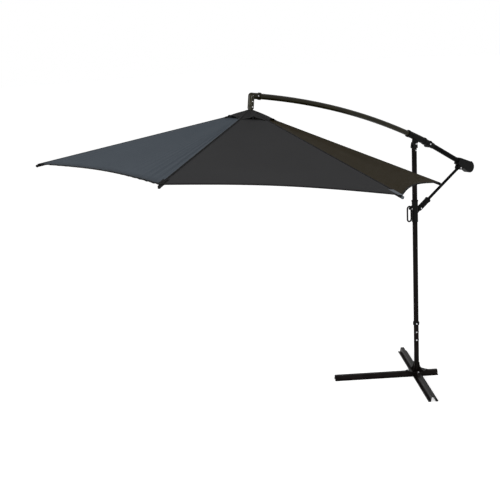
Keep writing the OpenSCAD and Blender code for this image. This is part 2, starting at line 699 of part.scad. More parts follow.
module elbow() color(metal_bronze) difference() {
    boom_frame(-front_arc) union() {
        translate([0, 0, -elbow_leg]) cylinder(d = elbow_d, h = elbow_leg);
        rotate([0, 90, 0]) cylinder(d = elbow_d, h = elbow_arm);
        sphere(d = elbow_d);
        translate([elbow_arm - elbow_ring, 0, 0]) rotate([0, 90, 0]) cylinder(d = elbow_d + 8, h = elbow_ring);
    }
    boom_sweep(-front_arc + 0.19, -front_arc + 1.2) circle(d = boom_d + 2 * press);
    boom_frame(-front_arc) translate([0, 0, -elbow_leg - over]) cylinder(d = pole_d + 2 * press, h = elbow_leg + over - 22);
    // way of the cord over the pulley
    boom_frame(-front_arc) {
        rotate([90, 0, 0]) cylinder(r = pulley_r + 3, h = 12, center = true);
        translate([-12, -6, -24]) cube([24, 12, 24]);
        translate([0, -6, -12]) cube([24, 12, 24]);
        rotate([90, 0, 0]) cylinder(d = pin_d + 2 * press, h = elbow_d + 2, center = true);
    }
    elbow_boom_screws() cylinder(d = pin_d + 2 * press, h = elbow_d);
    elbow_leg_screws() cylinder(d = pin_d + 2 * press, h = elbow_d);
}

module elbow_screws() color(bright_steel) {
    elbow_boom_screws() translate([0, 0, elbow_d / 2 + press]) dome_screw(pin_d, 10, 3, 12);
    elbow_leg_screws() translate([0, 0, elbow_d / 2 + press]) dome_screw(pin_d, 10, 3, 12);
}

module elbow_pulley() color(plastic_black) boom_frame(-front_arc) rotate([90, 0, 0]) rotate_extrude() difference() {
    translate([pin_d / 2 + run, -5]) square([pulley_r - pin_d / 2, 10]);
    translate([pulley_r + 1.5, 0]) circle(d = 7, $fn = 24);
}

module pulley_pin() color(bright_steel) boom_frame(-front_arc) rotate([90, 0, 0])
    cylinder(d = pin_d, h = elbow_d - 2, center = true);

module hanging_pole() color(metal_bronze) difference() {
    boom_frame(-front_arc) translate([0, 0, -pole_end]) tube(pole_d, 1.5, pole_end - 24);
    elbow_leg_screws() cylinder(d = pin_d + 2 * press, h = elbow_d);
}

module pole_end_cap() color(plastic_black) boom_frame(-front_arc) translate([0, 0, -pole_end]) union() {
    rotate_extrude() intersection() {
        translate([0, 22]) circle(r = 30);
        translate([0, -8]) square([pole_d / 2 + 3, 8 - press]);
    }
    cylinder(d = pole_d - 3 - 2 * press, h = 18);
}

// ---------- hubs ----------

pin_l = 28;
module hub_blank() rotate_extrude() difference() {
    translate([pole_d / 2 + slide_gap, -hub_h / 2]) square([hub_r - pole_d / 2 - slide_gap, hub_h]);
    for (s = [-1, 1]) translate([hub_r, s * hub_h / 2]) rotate(45) square(8, center = true);
}

module at_hinges() {
    for (i = [1 : ribs]) rotate([0, 0, rib_angle(i)]) translate([hinge_r, 0, 0]) children();
}

// Fixed on the pole; each slot is open downwards and outwards, for a rib that hangs down when folded.
module crown_hub() color(plastic_black) canopy_frame() translate([0, 0, -hinge_drop]) difference() {
    hub_blank();
    at_hinges() {
        rotate([90, 0, 0]) cylinder(r = slot_r, h = slot_w, center = true);
        translate([-slot_r, -slot_w / 2, -hub_h]) cube([2 * slot_r, slot_w, hub_h]);
        translate([0, -slot_w / 2, slot_r - 2 * hub_h]) cube([hub_r, slot_w, 2 * hub_h]);
        rotate([90, 0, 0]) cylinder(d = pin_d + 2 * press, h = pin_l + 2, center = true);
    }
}

// Slides on the pole; the stretchers' pins seat in notches that are open downwards.
module runner_hub() color(plastic_black) canopy_frame() translate([0, 0, -runner_drop]) difference() {
    hub_blank();
    at_hinges() {
        translate([-link_slot_r, -link_slot_w / 2, -hub_h]) cube([hub_r, link_slot_w, 2 * hub_h]);
        rotate([90, 0, 0]) cylinder(d = pin_d + 2 * press, h = pin_l + 1, center = true);
        translate([-pin_d / 2 - press, -pin_l / 2 - 0.5, -hub_h]) cube([pin_d + 2 * press, pin_l + 1, hub_h]);
    }
}

module crown_pins() color(bright_steel) canopy_frame() translate([0, 0, -hinge_drop]) at_hinges()
    rotate([90, 0, 0]) cylinder(d = pin_d, h = pin_l, center = true);

// ---------- ribs and stretchers ----------

module rib(i) color(metal_black) rib_frame(i) difference() {
    translate([-rib_below, -rib_w / 2, -rib_below]) cube([rib_len + rib_below, rib_w, rib_h]);
    translate([-rib_below - over, -rib_w / 2 + rib_wall, -rib_below - over])
        cube([rib_len + rib_below + 2 * over, rib_w - 2 * rib_wall, rib_h - rib_wall + over]);
    rotate([90, 0, 0]) cylinder(d = pin_d + 2 * run, h = 2 * rib_w, center = true);
    translate([link_l, 0, 0]) rotate([90, 0, 0]) cylinder(d = rivet_d + 2 * run, h = 2 * rib_w, center = true);
}

rivet_d = 4;
module stretcher(i) color(metal_black) rib_frame(i) translate([link_l, 0, 0]) rotate([0, 180 - 2 * rib_slope, 0]) {
    difference() {
        union() {
            for (x = [0, link_l]) translate([x, 0, 0]) rotate([90, 0, 0]) cylinder(r = link_eye_r, h = link_w, center = true);
            translate([0, -link_w / 2, -link_eye_r]) cube([link_l, link_w, 2 * link_eye_r]);
        }
        translate([link_l, 0, 0]) rotate([90, 0, 0]) cylinder(d = pin_d + 2 * press, h = 2 * rib_w, center = true);
        rotate([90, 0, 0]) cylinder(d = rivet_d + 2 * press, h = 2 * rib_w, center = true);
    }
    // rivet in the rib, and pin in the runner
    rotate([90, 0, 0]) cylinder(d = rivet_d, h = rib_w + 3, center = true);
    translate([link_l, 0, 0]) rotate([90, 0, 0]) cylinder(d = pin_d, h = pin_l, center = true);
}

module rib_cap(i) color(plastic_black) rib_frame(i) translate([rib_len, 0, rib_above - rib_h / 2]) difference() {
    union() {
        translate([press, -rib_w / 2 - 1, -rib_h / 2 - 1]) cube([10, rib_w + 2, rib_h + 0.6]);
        translate([8, 0, 0]) sphere(d = 15);
    }
    translate([-50, -50, -100 - rib_h / 2]) cube([100, 100, 99]);
}

// ---------- cloth ----------

// A closed cloth of ribs panels from radius r_in to r_out, on lines that fall from z_in to z_out,
// with each panel sagging between its ribs and each outer hem curving in.
module cloth(r_in, r_out, z_in, z_out, sag, hem, t, rows, cols) {
    around = ribs * cols;
    function at(k, j, drop) =
        let (i = floor(k / cols), f = (k - i * cols) / cols, u = j / rows,
             r = r_in + (r_out - r_in) * u,
             pull = 1 - hem * u * u * sin(180 * f),
             a = rib_angle(i + 1), b = rib_angle(i + 2),
             z = z_in + (z_out - z_in) * (r * pull - r_in) / (r_out - r_in),
             dip = sag * pow(sin(180 * f), 2) * sin(30 + 150 * u))
        [r * pull * ((1 - f) * cos(a) + f * cos(b)), r * pull * ((1 - f) * sin(a) + f * sin(b)), z - dip - drop];
    points = [for (drop = [0, t], j = [0 : rows], k = [0 : around - 1]) at(k, j, drop)];
    function id(layer, j, k) = layer * (rows + 1) * around + j * around + (k % around);
    faces = [
        for (j = [0 : rows - 1], k = [0 : around - 1]) each [
            [id(0, j, k), id(0, j, k + 1), id(0, j + 1, k)], [id(0, j, k + 1), id(0, j + 1, k + 1), id(0, j + 1, k)],
            [id(1, j, k), id(1, j + 1, k), id(1, j, k + 1)], [id(1, j, k + 1), id(1, j + 1, k), id(1, j + 1, k + 1)]],
        for (k = [0 : around - 1]) each [
            [id(0, 0, k), id(1, 0, k), id(0, 0, k + 1)], [id(0, 0, k + 1), id(1, 0, k), id(1, 0, k + 1)],
            [id(0, rows, k), id(0, rows, k + 1), id(1, rows, k)],
            [id(0, rows, k + 1), id(1, rows, k + 1), id(1, rows, k)]]];
    polyhedron(points, faces);
}

slope = tan(rib_slope);
module canopy() color(cloth_charcoal) canopy_frame()
    cloth(vent_r, canopy_r, -apex_drop - vent_r * slope, -apex_drop - canopy_r * slope,
          panel_sag, hem_in, cloth_t, 8, 8);

cap_lift = 12;      // cap over the canopy at the pole
cap_hole = (pole_d / 2 + slide_gap) / cos(180 / ribs);   // its sides clear the round pole
module vent_cap() color(cloth_charcoal) canopy_frame()
    cloth(cap_hole, cap_r, cap_lift - apex_drop - cap_hole * slope, 3 + cloth_t - apex_drop - cap_r * slope,
          2, 0.1, cloth_t, 4, 6);

// ---------- pieces ----------

base_arm_long();
base_arm_cross();
mast_foot();
foot_bolts();
mast_tube();
mast_joint_ring();
mast_screws();
mast_head();
pivot_bolt();
slider_collar();
slider_shoe();
slider_handle();
handle_pin();
strut_socket();
strut_tube();
strut_end();
strut_lower_bolt();
strut_upper_bolt();
boom_saddle();
saddle_screws();
boom_tube();
boom_coupling();
coupling_bolt();
rear_tube();
winch_shell_near();
winch_shell_far();
winch_screws();
cord_drum();
crank_arm();
crank_knob();
elbow();
elbow_screws();
elbow_pulley();
pulley_pin();
hanging_pole();
pole_end_cap();
crown_hub();
crown_pins();
runner_hub();
canopy();
vent_cap();
for (i = [1 : ribs]) {
    rib(i);
    stretcher(i);
    rib_cap(i);
}
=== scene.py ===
"""Dresses the cantilever parasol: finishes for every piece, and the canopy and vent cap as sewn cloth."""

import json
import logging
import math
from dataclasses import dataclass, field
from enum import Enum, IntEnum
from typing import Callable

import bmesh
import bpy
from mathutils import Matrix, Vector


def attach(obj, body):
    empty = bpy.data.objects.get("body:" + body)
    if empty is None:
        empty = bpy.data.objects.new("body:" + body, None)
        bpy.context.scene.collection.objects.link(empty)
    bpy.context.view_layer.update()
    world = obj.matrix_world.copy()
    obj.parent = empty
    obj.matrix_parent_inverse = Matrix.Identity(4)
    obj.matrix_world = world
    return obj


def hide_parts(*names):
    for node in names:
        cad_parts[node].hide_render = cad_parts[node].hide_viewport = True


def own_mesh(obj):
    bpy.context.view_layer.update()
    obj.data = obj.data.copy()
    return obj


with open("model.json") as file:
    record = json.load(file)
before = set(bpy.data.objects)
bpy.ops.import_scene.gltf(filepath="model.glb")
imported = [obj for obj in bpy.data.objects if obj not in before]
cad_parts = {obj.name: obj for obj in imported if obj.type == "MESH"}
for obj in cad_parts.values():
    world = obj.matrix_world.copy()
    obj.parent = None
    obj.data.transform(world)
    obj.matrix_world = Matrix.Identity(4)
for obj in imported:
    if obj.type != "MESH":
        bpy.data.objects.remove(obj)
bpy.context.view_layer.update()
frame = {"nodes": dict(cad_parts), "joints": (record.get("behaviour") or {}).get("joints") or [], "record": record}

log = logging.getLogger("parasol")

Colour = tuple[float, float, float]
Place = tuple[float, float, float]
Tree = bpy.types.NodeTree
Socket = bpy.types.NodeSocket
Material = bpy.types.Material
Vertex = bmesh.types.BMVert
Folds = Callable[[int, float, float, float], float]

RIBS = 6
SEWING_MAP = "sewing"
BUMP_STRENGTH = 0.6

# Two places closer than NEAR metres are the same.
# A direction lies along a rib if the cosine of the angle between them is over ALONG.
NEAR = 1e-4
ALONG = 0.99999

# The columns where the seam's tape and the tip patch end, counted from the rib, and the patch's rows.
TAPE_COLUMN = 2
PATCH_COLUMN = 3
PATCH_ROWS = 3


class Panel(Enum):
    """The canopy's one canvas in three tones of painted light: slate is painted sky light, olive is painted shade,
    charcoal is the plain cloth.
    """

    CHARCOAL = "charcoal"
    LIT_SLATE = "slate"
    SHADED_OLIVE = "olive"


class Coat(Enum):
    """Finishes of the pieces that keep their CAD shape. All but the rib cap painted pale as lit are the record's
    material slots.
    """

    BLACK = "black_steel"
    BRONZE = "bronze_aluminium"
    BLACK_TUBE = "black_aluminium"
    BRIGHT = "bright_steel"
    PLASTIC = "black_plastic"
    # A rib cap painted pale as painted light, to go with the lit end pocket.
    LIT_CAP = "lit_rib_cap"


class GorePart(IntEnum):
    """Places of a gore's materials on its mesh."""

    LEFT_PANEL = 0
    RIGHT_PANEL = 1
    TAPE = 2
    PATCH = 3


# ---------- shader nodes ----------


def feed(tree: Tree, socket: Socket, value: Socket | float) -> None:
    """Links an input socket to another socket, or sets its number.

    Args:
        tree: The node tree.
        socket: The input socket.
        value: What goes into it.
    """
    if isinstance(value, Socket):
        tree.links.new(value, socket)
    else:
        socket.default_value = value


def math_node(tree: Tree, kind: str, *values: Socket | float) -> Socket:
    """Adds a math node.

    Args:
        tree: The node tree.
        kind: The operation.
        values: What goes into the node's inputs, in their order.

    Returns:
        The node's output.
    """
    node = tree.nodes.new("ShaderNodeMath")
    node.operation = kind
    for socket, value in zip(node.inputs, values):
        feed(tree, socket, value)
    return node.outputs[0]


def mix_colours(tree: Tree, share: Socket, first: Socket, second: Socket) -> Socket:
    """Adds a mix of two colours.

    Args:
        tree: The node tree.
        share: Share of the second colour.
        first: The first colour.
        second: The second colour.

    Returns:
        The mixed colour.
    """
    mix = tree.nodes.new("ShaderNodeMix")
    mix.data_type = "RGBA"
    for label, source in (("Factor", share), ("A", first), ("B", second)):
        tree.links.new(source, mix.inputs[label])
    return mix.outputs["Result"]


def noise_node(tree: Tree, place: Socket, scale: Socket | float, detail: float = 2.0) -> Socket:
    """Adds a noise texture.

    Args:
        tree: The node tree.
        place: The coordinates.
        scale: Scale of the noise.
        detail: How many finer layers of noise it holds.

    Returns:
        The noise.
    """
    node = tree.nodes.new("ShaderNodeTexNoise")
    node.inputs["Detail"].default_value = detail
    feed(tree, node.inputs["Scale"], scale)
    tree.links.new(place, node.inputs["Vector"])
    return node.outputs["Fac"]


def new_group(name: str, inputs: dict[str, tuple | float],
              outputs: tuple[str, ...]) -> tuple[Tree, bpy.types.NodeOutputs, bpy.types.NodeInputs]:
    """Makes an empty shader node group.

    Args:
        name: The group's name.
        inputs: Names and defaults of its inputs, colours with their alpha.
        outputs: Names of its outputs. Colour is a colour, and the others are numbers.

    Returns:
        The group's tree, the sockets that hold what it is given, and the sockets of its result.
    """
    tree = bpy.data.node_groups.new(name, "ShaderNodeTree")
    for label, default in inputs.items():
        kind = "NodeSocketColor" if isinstance(default, tuple) else "NodeSocketFloat"
        socket = tree.interface.new_socket(name=label, in_out="INPUT", socket_type=kind)
        socket.default_value = default
    for label in outputs:
        kind = "NodeSocketColor" if label == "Colour" else "NodeSocketFloat"
        tree.interface.new_socket(name=label, in_out="OUTPUT", socket_type=kind)
    return tree, tree.nodes.new("NodeGroupInput").outputs, tree.nodes.new("NodeGroupOutput").inputs


@dataclass(frozen=True)
class Weave:
    """The canvas weave: two crossed waves of thread, and slow fading.

    Attributes:
        waviness: How far the threads wander.
        fade_scale: Scale of the faded places.
        fade_detail: Detail of the faded places.
        thread_roughness: Roughness that the threads' crests add.
    """

    waviness: float = 0.6
    fade_scale: float = 2.2
    fade_detail: float = 5.0
    thread_roughness: float = 0.08

    def build(self) -> Tree:
        """Builds the group.

        Returns:
            The group, with a colour, a roughness and a height.
        """
        tree, given, result = new_group(
            "canvas_weave",
            {"Colour": (0.05, 0.05, 0.05, 1), "Fade": (0.08, 0.08, 0.08, 1), "Threads": 900.0,
             "Roughness": 0.85},
            ("Colour", "Roughness", "Height"))
        place = tree.nodes.new("ShaderNodeTexCoord").outputs["Object"]
        warp, weft = (self._threads(tree, place, given["Threads"], way) for way in ("X", "Y"))
        crests = math_node(tree, "MULTIPLY", warp, weft)
        faded = noise_node(tree, place, self.fade_scale, self.fade_detail)
        rough = math_node(tree, "MULTIPLY_ADD", crests, self.thread_roughness, given["Roughness"])
        tree.links.new(mix_colours(tree, faded, given["Colour"], given["Fade"]), result["Colour"])
        tree.links.new(rough, result["Roughness"])
        tree.links.new(crests, result["Height"])
        return tree

    def _threads(self, tree: Tree, place: Socket, threads: Socket, way: str) -> Socket:
        """Adds the waves of one set of threads.

        Args:
            tree: The group's tree.
            place: The coordinates.
            threads: Scale of the threads.
            way: The axis across them.

        Returns:
            The waves.
        """
        wave = tree.nodes.new("ShaderNodeTexWave")
        wave.bands_direction = way
        wave.inputs["Distortion"].default_value = self.waviness
        tree.links.new(place, wave.inputs["Vector"])
        tree.links.new(threads, wave.inputs["Scale"])
        return wave.outputs["Fac"]


@dataclass(frozen=True)
class Stitches:
    """Rows of stitches along a tape, placed by the sewing map: along the tape in X, from its edge in Y.

    Attributes:
        rows: Distance of each row from the edge.
        half_width: Half the thread's width.
        per_metre: Stitches in a metre.
        gap: Share of a stitch's length that is open.
        height: How far the thread stands out of the weave, in the bump's own height.
    """

    rows: tuple[float, float] = (0.0045, 0.0080)
    half_width: float = 0.0005
    per_metre: float = 250.0
    gap: float = 0.25
    height: float = 1.5

    def build(self) -> Tree:
        """Builds the group.

        Returns:
            The group, with a colour and a height.
        """
        tree, given, result = new_group(
            "stitch_rows",
            {"Colour": (0.01, 0.01, 0.01, 1), "Thread": (0.06, 0.06, 0.06, 1), "Height": 0.0},
            ("Colour", "Height"))
        place = tree.nodes.new("ShaderNodeUVMap")
        place.uv_map = SEWING_MAP
        parts = tree.nodes.new("ShaderNodeSeparateXYZ")
        tree.links.new(place.outputs["UV"], parts.inputs[0])
        first, second = (self._row(tree, parts.outputs["Y"], at) for at in self.rows)
        along = math_node(tree, "FRACT", math_node(tree, "MULTIPLY", parts.outputs["X"], self.per_metre))
        stitched = math_node(tree, "GREATER_THAN", along, self.gap)
        thread = math_node(tree, "MULTIPLY", math_node(tree, "MAXIMUM", first, second), stitched)
        raised = math_node(tree, "ADD", given["Height"], math_node(tree, "MULTIPLY", thread, self.height))
        tree.links.new(mix_colours(tree, thread, given["Colour"], given["Thread"]), result["Colour"])
        tree.links.new(raised, result["Height"])
        return tree

    def _row(self, tree: Tree, beside: Socket, at: float) -> Socket:
        """Adds a mask that is 1 on one row.

        Args:
            tree: The group's tree.
            beside: Distance from the tape's edge.
            at: The row's distance from it.

        Returns:
            The mask.
        """
        off = math_node(tree, "ABSOLUTE", math_node(tree, "SUBTRACT", beside, at))
        return math_node(tree, "LESS_THAN", off, self.half_width)


@dataclass(frozen=True)
class Grain:
    """The surface grain of paint and moulded plastic, with worn and dusty places.

    Attributes:
        patch_scale: Scale of the worn places.
        patch_detail: Detail of the worn places.
        patch_from: Noise at which wear starts.
        patch_to: Noise at which it is full.
        noise_roughness: Roughness that the same noise adds all over.
    """

    patch_scale: float = 9.0
    patch_detail: float = 6.0
    patch_from: float = 0.45
    patch_to: float = 0.8
    noise_roughness: float = 0.15

    def build(self) -> Tree:
        """Builds the group.

        Returns:
            The group, with a colour, a roughness and a height.
        """
        tree, given, result = new_group(
            "surface_grain",
            {"Colour": (0.02, 0.02, 0.02, 1), "Wear": (0.1, 0.1, 0.1, 1), "Amount": 0.4, "Scale": 400.0,
             "Roughness": 0.4},
            ("Colour", "Roughness", "Height"))
        place = tree.nodes.new("ShaderNodeTexCoord").outputs["Object"]
        slow = noise_node(tree, place, self.patch_scale, self.patch_detail)
        patch = tree.nodes.new("ShaderNodeMapRange")
        patch.inputs["From Min"].default_value = self.patch_from
        patch.inputs["From Max"].default_value = self.patch_to
        tree.links.new(slow, patch.inputs["Value"])
        worn = math_node(tree, "MULTIPLY", patch.outputs["Result"], given["Amount"])
        rough = math_node(tree, "MULTIPLY_ADD", slow, self.noise_roughness, given["Roughness"])
        tree.links.new(mix_colours(tree, worn, given["Colour"], given["Wear"]), result["Colour"])
        tree.links.new(rough, result["Roughness"])
        tree.links.new(noise_node(tree, place, given["Scale"]), result["Height"])
        return tree


@dataclass
class EffectGroups:
    """The effects that the materials share, each built once."""

    weave: Tree = field(init=False)
    stitches: Tree = field(init=False)
    grain: Tree = field(init=False)

    def __post_init__(self) -> None:
        """Builds the groups."""
        self.weave = Weave().build()
        self.stitches = Stitches().build()
        self.grain = Grain().build()


# ---------- finishes ----------


def effect_material(name: str, group: Tree, values: dict[str, Colour | float], bump: float,
                    constants: dict[str, float]) -> Material:
    """Makes a Principled material whose colour, roughness and bump come from an effect group.

    Args:
        name: The material's name.
        group: The effect group.
        values: The group's inputs for this material.
        bump: Bump distance in metres.
        constants: The shader's numbers that are the same all over.

    Returns:
        The material.
    """
    mat = bpy.data.materials.new(name)
    mat.use_nodes = True
    nodes, links = mat.node_tree.nodes, mat.node_tree.links
    shader = nodes["Principled BSDF"]
    effect = nodes.new("ShaderNodeGroup")
    effect.node_tree = group
    for label, value in values.items():
        effect.inputs[label].default_value = (*value, 1) if isinstance(value, tuple) else value
    raised = nodes.new("ShaderNodeBump")
    raised.inputs["Strength"].default_value = BUMP_STRENGTH
    raised.inputs["Distance"].default_value = bump
    links.new(effect.outputs["Colour"], shader.inputs["Base Color"])
    links.new(effect.outputs["Roughness"], shader.inputs["Roughness"])
    links.new(effect.outputs["Height"], raised.inputs["Height"])
    links.new(raised.outputs["Normal"], shader.inputs["Normal"])
    for label, value in constants.items():
        shader.inputs[label].default_value = value
    return mat


@dataclass(frozen=True)
class PaintFinish:
    """A satin paint, a moulded plastic or a bare metal.

    Attributes:
        name: The material's name.
        colour: The clean colour.
        wear: The colour of worn and dusty places.
        amount: How strongly they show.
        scale: Scale of the fine grain.
        roughness: Roughness of clean places.
        gloss: The shader's specular level.
        metallic: 1 for bare metal.
        bump: Depth of the grain in metres.
    """

    name: str
    colour: Colour
    wear: Colour
    amount: float
    scale: float
    roughness: float
    gloss: float
    metallic: float = 0.0
    bump: float = 0.00015

    def build(self, groups: EffectGroups) -> Material:
        """Makes the material.

        Args:
            groups: The shared effects.

        Returns:
            The material.
        """
        values = {"Colour": self.colour, "Wear": self.wear, "Amount": self.amount, "Scale": self.scale,
                  "Roughness": self.roughness}
        constants = {"Metallic": self.metallic, "Specular IOR Level": self.gloss}
        return effect_material(self.name, groups.grain, values, self.bump, constants)


@dataclass(frozen=True)
class ClothFinish:
    """A woven canvas.

    Attributes:
        name: The material's name.
        colour: The cloth's colour.
        fade: Its colour where it has faded.
        roughness: Roughness between the threads.
        thread: Colour of the stitches, or None for cloth without them.
        gloss: The shader's specular level.
        bump: Depth of the weave in metres.
    """

    name: str
    colour: Colour
    fade: Colour
    roughness: float = 0.8
    thread: Colour | None = None
    gloss: float = 0.03
    bump: float = 0.0002

    def build(self, groups: EffectGroups) -> Material:
        """Makes the material.

        Args:
            groups: The shared effects.

        Returns:
            The material.
        """
        values = {"Colour": self.colour, "Fade": self.fade, "Roughness": self.roughness}
        constants = {"Specular IOR Level": self.gloss}
        mat = effect_material(self.name, groups.weave, values, self.bump, constants)
        if self.thread is not None:
            self._stitch(mat, groups)
        return mat

    def _stitch(self, mat: Material, groups: EffectGroups) -> None:
        """Sews the stitches between the weave and the shader.

        Args:
            mat: The material.
            groups: The shared effects.
        """
        nodes, links = mat.node_tree.nodes, mat.node_tree.links
        weave = nodes["Group"]
        sewn = nodes.new("ShaderNodeGroup")
        sewn.node_tree = groups.stitches
        sewn.inputs["Thread"].default_value = (*self.thread, 1)
        links.new(weave.outputs["Colour"], sewn.inputs["Colour"])
        links.new(weave.outputs["Height"], sewn.inputs["Height"])
        links.new(sewn.outputs["Colour"], nodes["Principled BSDF"].inputs["Base Color"])
        links.new(sewn.outputs["Height"], nodes["Bump"].inputs["Height"])


FINISHES: dict[Coat, PaintFinish] = {
    Coat.BLACK: PaintFinish(
        "black_satin_paint", colour=(0.005, 0.0038, 0.0036), wear=(0.024, 0.019, 0.018),
        amount=0.4, scale=500, roughness=0.22, gloss=0.03),
    Coat.BRONZE: PaintFinish(
        "bronze_black_paint", colour=(0.010, 0.0085, 0.0025), wear=(0.04, 0.034, 0.012),
        amount=0.45, scale=500, roughness=0.1, gloss=0.14),
    Coat.BLACK_TUBE: PaintFinish(
        "black_tube_paint", colour=(0.003, 0.003, 0.003), wear=(0.012, 0.012, 0.012),
        amount=0.35, scale=500, roughness=0.2, gloss=0.018),
    Coat.BRIGHT: PaintFinish(
        "bright_zinc", colour=(0.62, 0.62, 0.64), wear=(0.4, 0.39, 0.37),
        amount=0.5, scale=700, roughness=0.28, gloss=0.5, metallic=1.0),
    Coat.PLASTIC: PaintFinish(
        "black_moulded_plastic", colour=(0.004, 0.004, 0.004), wear=(0.014, 0.014, 0.014),
        amount=0.5, scale=900, roughness=0.36, gloss=0.05),
    # Painted light: the end cap in the lit pocket, painted pale as light falling on it.
    Coat.LIT_CAP: PaintFinish(
        "lit_end_pocket_cap", colour=(0.06, 0.068, 0.078), wear=(0.09, 0.10, 0.11),
        amount=0.4, scale=900, roughness=0.6, gloss=0.1),
}

# Pieces that differ from their slot: screws painted with what they hold, and a rib cap painted pale as painted
# light.
OWN_FINISH: dict[str, Coat] = {
    "saddle_screws": Coat.BLACK_TUBE,
    "winch_screws": Coat.BLACK_TUBE,
    "rib_cap_6": Coat.LIT_CAP,
}

# One canvas painted in three tones of light: the slate copy is lighter and bluer as painted sky light, the olive
# copy darker and warmer as painted shade.
CLOTHS: dict[Panel, ClothFinish] = {
    Panel.CHARCOAL: ClothFinish("charcoal_canvas", (0.032, 0.032, 0.033), (0.038, 0.038, 0.039)),
    Panel.LIT_SLATE: ClothFinish("lit_slate_canvas", (0.051, 0.061, 0.073), (0.063, 0.074, 0.087)),
    Panel.SHADED_OLIVE: ClothFinish("shaded_olive_canvas", (0.019, 0.0145, 0.0065), (0.026, 0.020, 0.010)),
}
SEAM = ClothFinish(
    "seam_binding", (0.004, 0.004, 0.004), (0.007, 0.007, 0.007),
    roughness=0.75, thread=(0.05, 0.05, 0.052))
# Painted light: the end pocket at one tip, a pale copy of the black tape as light falling on it.
LIT_POCKET = ClothFinish("lit_pocket_canvas", (0.10, 0.11, 0.125), (0.13, 0.14, 0.155), roughness=0.7)
CAP = ClothFinish("cap_canvas", (0.018, 0.018, 0.018), (0.034, 0.034, 0.035))


@dataclass
class Dresser:
    """Gives each CAD piece that stays its finish."""

    groups: EffectGroups

    def build(self) -> None:
        """Dresses every CAD piece but the cloth, by its own finish or its material slot."""
        made = {coat.value: finish.build(self.groups) for coat, finish in FINISHES.items()}
        slots = {part["node"]: part["material_slot"] for part in frame["record"]["subparts"]}
        slots |= {name: coat.value for name, coat in OWN_FINISH.items()}
        for name, obj in frame["nodes"].items():
            mat = made.get(slots[name])
            if mat is None:
                continue
            obj.data.materials.clear()
            obj.data.materials.append(mat)
            log.info("dressed %s as %s", name, mat.name)


# ---------- sewn cloth ----------


@dataclass
class CanopyAxes:
    """The canopy's own axes, read from the ribs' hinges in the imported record.

    Attributes:
        hinges: Place of each rib's hinge.
        pins: Direction of each rib's hinge pin.
        centre: The pole's axis at the hinges' height.
        down: Direction down the pole.
        radial: Direction of each rib, square to the pole.
    """

    hinges: list[Vector] = field(init=False)
    pins: list[Vector] = field(init=False)
    centre: Vector = field(init=False)
    down: Vector = field(init=False)
    radial: list[Vector] = field(init=False)

    def __post_init__(self) -> None:
        """Reads the hinges' places and axes, and works out the pole's axis."""
        joints = {joint["name"]: joint for joint in frame["joints"]}
        rows = [joints[f"rib_{rib + 1}_hinge"] for rib in range(RIBS)]
        self.hinges = [Vector(row["pos_m"]) for row in rows]
        self.pins = [Vector(row["axis"]).normalized() for row in rows]
        self.centre = sum(self.hinges, Vector()) / RIBS
        self.down = Vector(joints["runner_slide"]["axis"]).normalized()
        self.radial = [(hinge - self.centre).normalized() for hinge in self.hinges]

    def point(self, aside: Vector, drop: float) -> Vector:
        """Gives the point that lies aside from the pole and drops below the hinges."""
        return self.centre + aside + self.down * drop


